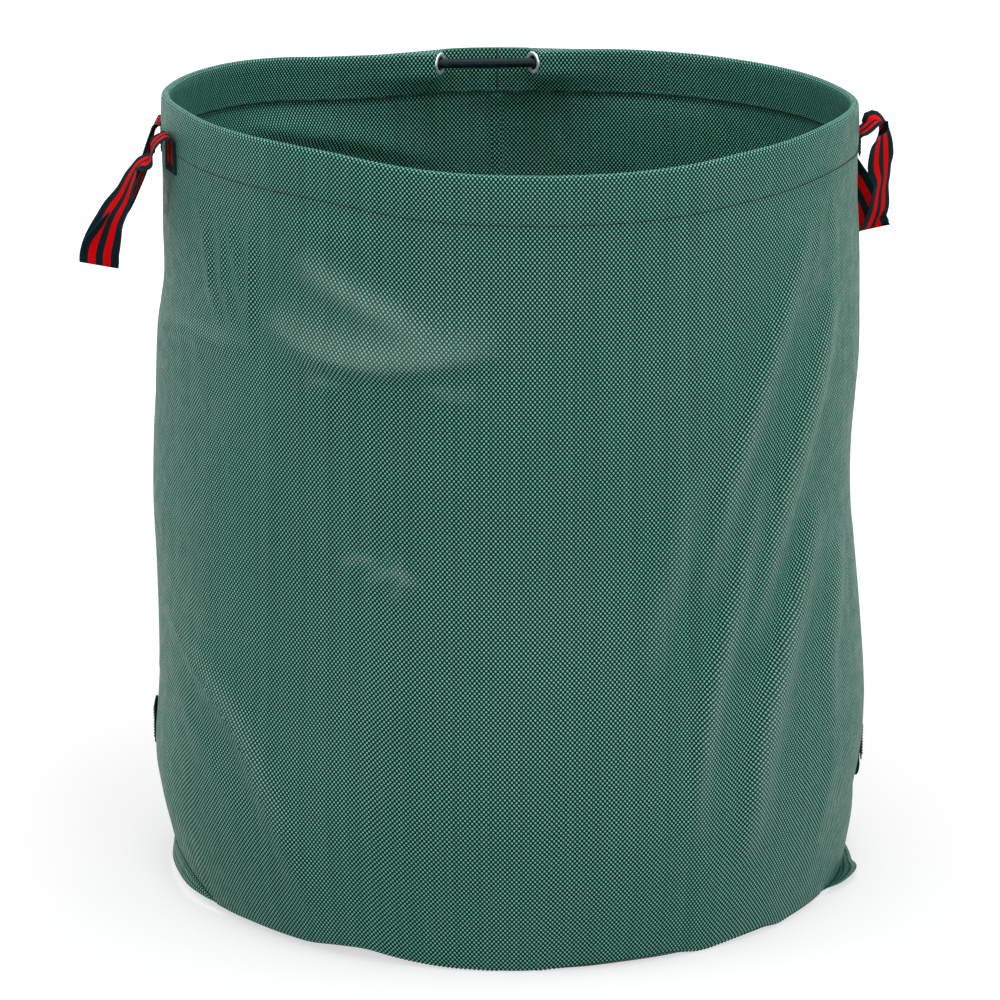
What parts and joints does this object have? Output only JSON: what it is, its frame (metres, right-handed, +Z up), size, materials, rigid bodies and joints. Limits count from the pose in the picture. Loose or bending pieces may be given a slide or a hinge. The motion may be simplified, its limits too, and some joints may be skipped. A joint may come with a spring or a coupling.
{
  "type": "pop up leaf bag",
  "caption": "Round self-standing garden bag of woven cloth: a sprung hoop in the hem holds the mouth open, with webbing handles at the rim and low on the wall.",
  "frame": {"origin": "centre of the bag's flat underside, on the ground", "axes": "+Z up through the mouth, -Y towards the front, +X to the right of someone facing the front"},
  "size_m": [0.7875, 0.7019, 0.7607],
  "materials": {
    "green_cloth": "woven polypropylene tape cloth, slight sheen",
    "webbing": "woven webbing, red stripes on dark green",
    "thread": "dark sewing thread",
    "eyelet_metal": "bright pressed metal",
    "hoop_rod": "dark glass fibre rod",
    "sleeve_tube": "dark green tube, smooth sheen"
  },
  "bodies": {
    "base": {"base_panel": "green_cloth", "wall_lower": "green_cloth", "wall_upper": "green_cloth", "rear_seam_lower": "green_cloth", "rear_seam_upper": "green_cloth", "base_stitching": "thread", "left_lower_handle_front_tab": "webbing", "left_lower_handle_front_stitching": "thread", "left_lower_handle_rear_tab": "webbing", "left_lower_handle_rear_stitching": "thread", "right_lower_handle_front_tab": "webbing", "right_lower_handle_front_stitching": "thread", "right_lower_handle_rear_tab": "webbing", "right_lower_handle_rear_stitching": "thread"},
    "rim": {"rim_hem": "green_cloth", "spring_hoop": "hoop_rod", "hoop_sleeve": "sleeve_tube", "eyelet_left": "eyelet_metal", "eyelet_right": "eyelet_metal", "eyelet_washer_left": "eyelet_metal", "eyelet_washer_right": "eyelet_metal", "hem_stitching": "thread", "left_handle_front_tab": "webbing", "left_handle_front_stitching": "thread", "left_handle_rear_tab": "webbing", "left_handle_rear_stitching": "thread", "right_handle_front_tab": "webbing", "right_handle_front_stitching": "thread", "right_handle_rear_tab": "webbing", "right_handle_rear_stitching": "thread"},
    "left_handle": {"left_handle_loop": "webbing"},
    "right_handle": {"right_handle_loop": "webbing"},
    "left_lower_handle": {"left_lower_handle_loop": "webbing"},
    "right_lower_handle": {"right_lower_handle_loop": "webbing"}
  },
  "joints": [
    {"name": "rim_collapse", "type": "slide", "parent": "base", "child": "rim", "axis": [0, 0, 1], "range_m": [-0.45, 0], "deforming": ["wall_upper", "rear_seam_upper"]},
    {"name": "left_handle_swing", "type": "hinge", "parent": "rim", "child": "left_handle", "pos_m": [-0.3348, -0.047, 0.7562], "axis": [-0.1392, 0.9903, 0], "range_deg": [0, 150]},
    {"name": "right_handle_swing", "type": "hinge", "parent": "rim", "child": "right_handle", "pos_m": [0.3329, 0.0587, 0.7562], "axis": [0.1736, -0.9848, 0], "range_deg": [0, 150]},
    {"name": "left_lower_handle_swing", "type": "hinge", "parent": "base", "child": "left_lower_handle", "pos_m": [-0.3486, 0.049, 0.163], "axis": [0.1392, 0.9903, 0], "range_deg": [0, 120]},
    {"name": "right_lower_handle_swing", "type": "hinge", "parent": "base", "child": "right_lower_handle", "pos_m": [0.3483, 0.049, 0.145], "axis": [0.1392, -0.9903, 0], "range_deg": [0, 120]}
  ]
}
